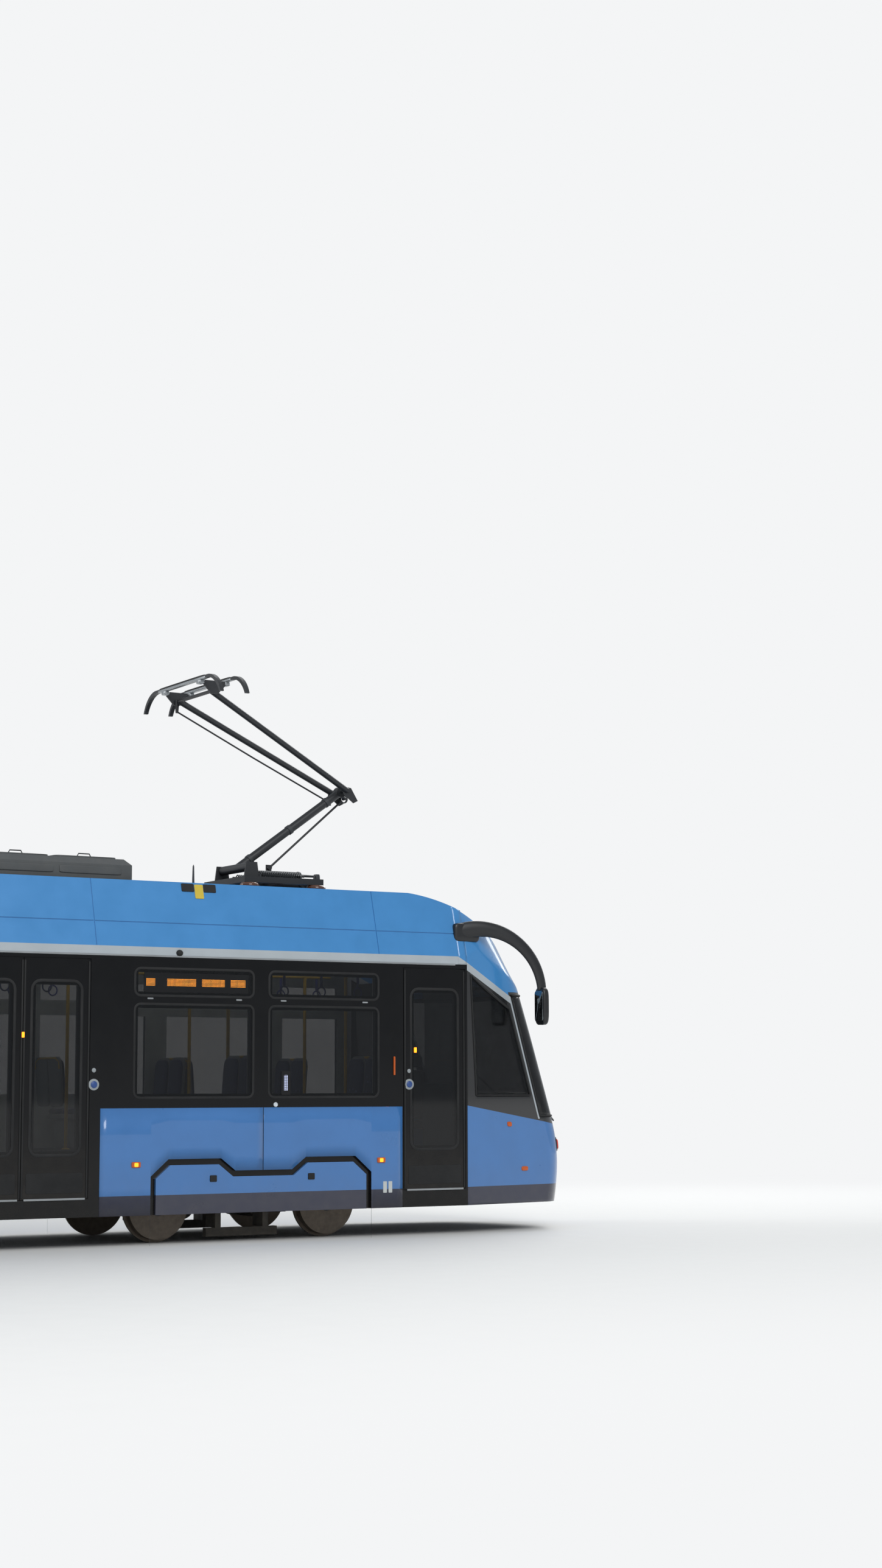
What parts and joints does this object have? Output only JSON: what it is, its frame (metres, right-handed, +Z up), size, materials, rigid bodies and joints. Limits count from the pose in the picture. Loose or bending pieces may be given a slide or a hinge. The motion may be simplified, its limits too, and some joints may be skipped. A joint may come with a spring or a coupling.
{
  "type": "articulated low-floor tram",
  "caption": "Three-section low-floor tram on pivoting bogies, with a tapered nose, hooded gangways, mirror arms and a raised half-scissor current collector.",
  "frame": {"origin": "on the floor under the wheel flanges, halfway along and across the vehicle", "axes": "+X forward out of the cab end, +Y to the left, +Z up"},
  "size_m": [32, 2.8942, 5.4728],
  "materials": {
    "body_paint": "gloss two-tone blue over a dark lower band, black window band",
    "roof_paint": "gloss light blue fascia, grey deck",
    "nose_paint": "gloss blue with a black front",
    "door_black": "gloss black",
    "tinted_glass": "dark tinted",
    "lamp_lens": "clear",
    "tail_lens": "red",
    "floor_grey": "matt",
    "seat_blue": "woven",
    "handrail": "yellow powder coat",
    "cab_grey": "textured",
    "equipment_grey": "satin",
    "mirror_black": "gloss",
    "tow_steel": "satin black",
    "bellows_rubber": "pleated",
    "bogie_steel": "satin dark grey",
    "wheel_steel": "turned tread, brown web",
    "collector_grey": "satin",
    "arm_grey": "satin"
  },
  "bodies": {
    "car_front": {"front_bellows": "bellows_rubber", "front_bogie_covers": "body_paint", "front_cab_interior": "cab_grey", "front_doors": "door_black", "front_glazing": "tinted_glass", "front_handrails": "handrail", "front_lamps": "lamp_lens", "front_mirrors": "mirror_black", "front_nose": "nose_paint", "front_roof": "roof_paint", "front_roof_equipment": "equipment_grey", "front_seats": "seat_blue", "front_side_left": "body_paint", "front_side_right": "body_paint", "front_tow_clevis": "tow_steel", "front_underframe": "floor_grey", "pantograph_base": "collector_grey"},
    "car_middle": {"middle_doors": "door_black", "middle_glazing": "tinted_glass", "middle_handrails": "handrail", "middle_roof": "roof_paint", "middle_roof_equipment": "equipment_grey", "middle_seats": "seat_blue", "middle_side_left": "body_paint", "middle_side_right": "body_paint", "middle_underframe": "floor_grey", "rear_bellows": "bellows_rubber"},
    "car_rear": {"rear_bogie_covers": "body_paint", "rear_doors": "door_black", "rear_glazing": "tinted_glass", "rear_handrails": "handrail", "rear_lamps": "tail_lens", "rear_nose": "nose_paint", "rear_roof": "roof_paint", "rear_roof_equipment": "equipment_grey", "rear_seats": "seat_blue", "rear_side_left": "body_paint", "rear_side_right": "body_paint", "rear_tow_clevis": "tow_steel", "rear_underframe": "floor_grey"},
    "bogie_1": {"bogie_1": "bogie_steel"},
    "wheelset_1_leading": {"wheelset_1_leading": "wheel_steel"},
    "wheelset_1_trailing": {"wheelset_1_trailing": "wheel_steel"},
    "bogie_2": {"bogie_2": "bogie_steel"},
    "wheelset_2_leading": {"wheelset_2_leading": "wheel_steel"},
    "wheelset_2_trailing": {"wheelset_2_trailing": "wheel_steel"},
    "bogie_3": {"bogie_3": "bogie_steel"},
    "wheelset_3_leading": {"wheelset_3_leading": "wheel_steel"},
    "wheelset_3_trailing": {"wheelset_3_trailing": "wheel_steel"},
    "bogie_4": {"bogie_4": "bogie_steel"},
    "wheelset_4_leading": {"wheelset_4_leading": "wheel_steel"},
    "wheelset_4_trailing": {"wheelset_4_trailing": "wheel_steel"},
    "pantograph_lower_arm": {"pantograph_lower_arm": "arm_grey"},
    "pantograph_upper_arm": {"pantograph_upper_arm": "arm_grey"},
    "pantograph_thrust_rod": {"pantograph_thrust_rod": "arm_grey"},
    "pantograph_head": {"pantograph_head": "collector_grey"}
  },
  "joints": [
    {"name": "front_articulation", "type": "hinge", "parent": "car_front", "child": "car_middle", "pos_m": [3.3, 0, 0.528], "axis": [0, 0, -1], "range_deg": [-26, 26], "deforming": ["front_bellows"]},
    {"name": "rear_articulation", "type": "hinge", "parent": "car_middle", "child": "car_rear", "pos_m": [-3.3, 0, 0.528], "axis": [0, 0, -1], "range_deg": [-26, 26], "deforming": ["rear_bellows"]},
    {"name": "bogie_1_yaw", "type": "hinge", "parent": "car_front", "child": "bogie_1", "pos_m": [12.15, 0, 0.5], "axis": [0, 0, 1], "range_deg": [-11, 11]},
    {"name": "wheelset_1_leading_roll", "type": "hinge", "parent": "bogie_1", "child": "wheelset_1_leading", "pos_m": [13.05, 0, 0.328], "axis": [0, 1, 0], "continuous": true},
    {"name": "wheelset_1_trailing_roll", "type": "hinge", "parent": "bogie_1", "child": "wheelset_1_trailing", "pos_m": [11.25, 0, 0.328], "axis": [0, 1, 0], "continuous": true},
    {"name": "bogie_2_yaw", "type": "hinge", "parent": "car_front", "child": "bogie_2", "pos_m": [5.15, 0, 0.5], "axis": [0, 0, -1], "range_deg": [-11, 11]},
    {"name": "wheelset_2_leading_roll", "type": "hinge", "parent": "bogie_2", "child": "wheelset_2_leading", "pos_m": [6.05, 0, 0.328], "axis": [0, 1, 0], "continuous": true},
    {"name": "wheelset_2_trailing_roll", "type": "hinge", "parent": "bogie_2", "child": "wheelset_2_trailing", "pos_m": [4.25, 0, 0.328], "axis": [0, 1, 0], "continuous": true},
    {"name": "bogie_3_yaw", "type": "hinge", "parent": "car_rear", "child": "bogie_3", "pos_m": [-5.15, 0, 0.5], "axis": [0, 0, 1], "range_deg": [-11, 11]},
    {"name": "wheelset_3_leading_roll", "type": "hinge", "parent": "bogie_3", "child": "wheelset_3_leading", "pos_m": [-4.25, 0, 0.328], "axis": [0, 1, 0], "continuous": true},
    {"name": "wheelset_3_trailing_roll", "type": "hinge", "parent": "bogie_3", "child": "wheelset_3_trailing", "pos_m": [-6.05, 0, 0.328], "axis": [0, 1, 0], "continuous": true},
    {"name": "bogie_4_yaw", "type": "hinge", "parent": "car_rear", "child": "bogie_4", "pos_m": [-12.15, 0, 0.5], "axis": [0, 0, -1], "range_deg": [-11, 11]},
    {"name": "wheelset_4_leading_roll", "type": "hinge", "parent": "bogie_4", "child": "wheelset_4_leading", "pos_m": [-11.25, 0, 0.328], "axis": [0, 1, 0], "continuous": true},
    {"name": "wheelset_4_trailing_roll", "type": "hinge", "parent": "bogie_4", "child": "wheelset_4_trailing", "pos_m": [-13.05, 0, 0.328], "axis": [0, 1, 0], "continuous": true},
    {"name": "pantograph_lift", "type": "hinge", "parent": "car_front", "child": "pantograph_lower_arm", "pos_m": [12.45, 0, 3.628], "axis": [0, 1, 0], "range_deg": [-10, 24]},
    {"name": "pantograph_knee", "type": "hinge", "parent": "pantograph_lower_arm", "child": "pantograph_upper_arm", "pos_m": [13.64, 0, 4.478], "axis": [0, 1, 0], "range_deg": [-53, 22.5]},
    {"name": "pantograph_head_pivot", "type": "hinge", "parent": "pantograph_upper_arm", "child": "pantograph_head", "pos_m": [11.97, 0, 5.348], "axis": [0, 1, 0], "range_deg": [-12.5, 29.5]},
    {"name": "pantograph_thrust_pivot", "type": "hinge", "parent": "car_front", "child": "pantograph_thrust_rod", "pos_m": [12.88, 0.11, 3.668], "axis": [0, 1, 0], "range_deg": [-12.8, 30]}
  ],
  "couplings": [
    {"joint": "pantograph_knee", "follows": "pantograph_lift", "ratio": -2.2},
    {"joint": "pantograph_head_pivot", "follows": "pantograph_lift", "ratio": 1.2},
    {"joint": "pantograph_thrust_pivot", "follows": "pantograph_lift", "ratio": 1.2}
  ]
}
